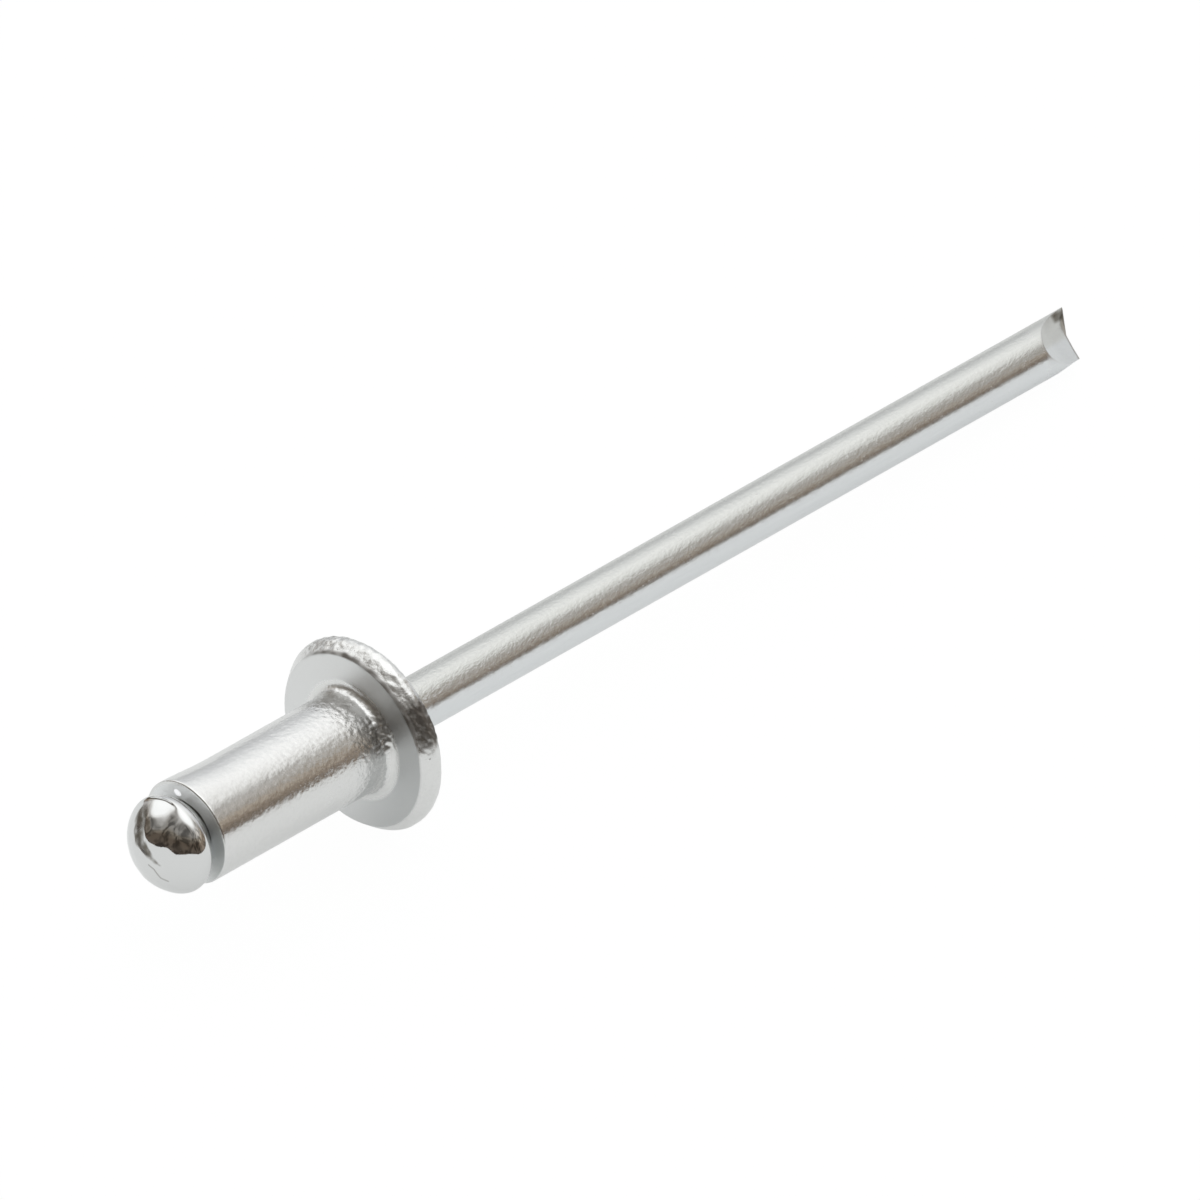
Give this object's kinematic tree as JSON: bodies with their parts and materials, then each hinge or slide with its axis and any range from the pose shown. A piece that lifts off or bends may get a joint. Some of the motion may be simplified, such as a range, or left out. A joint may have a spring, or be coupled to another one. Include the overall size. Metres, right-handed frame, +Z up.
{
  "type": "pop rivet",
  "caption": "Open-end blind rivet with a domed flange, lying on its side, threaded on a steel mandrel with an upset head and a pinched tail.",
  "frame": {"origin": "on the ground, under the middle of the rivet's length", "axes": "+Z up, +X along the rivet from the blind end to the mandrel's tail, which rests on the ground"},
  "size_m": [0.0384, 0.006, 0.0061],
  "materials": {
    "soft_aluminium": "bright, with a fine orange-peel grain near the flange",
    "bright_steel": "satin drawn wire with a polished head"
  },
  "bodies": {
    "root": {"rivet_body": "soft_aluminium", "mandrel": "bright_steel"}
  },
  "joints": []
}
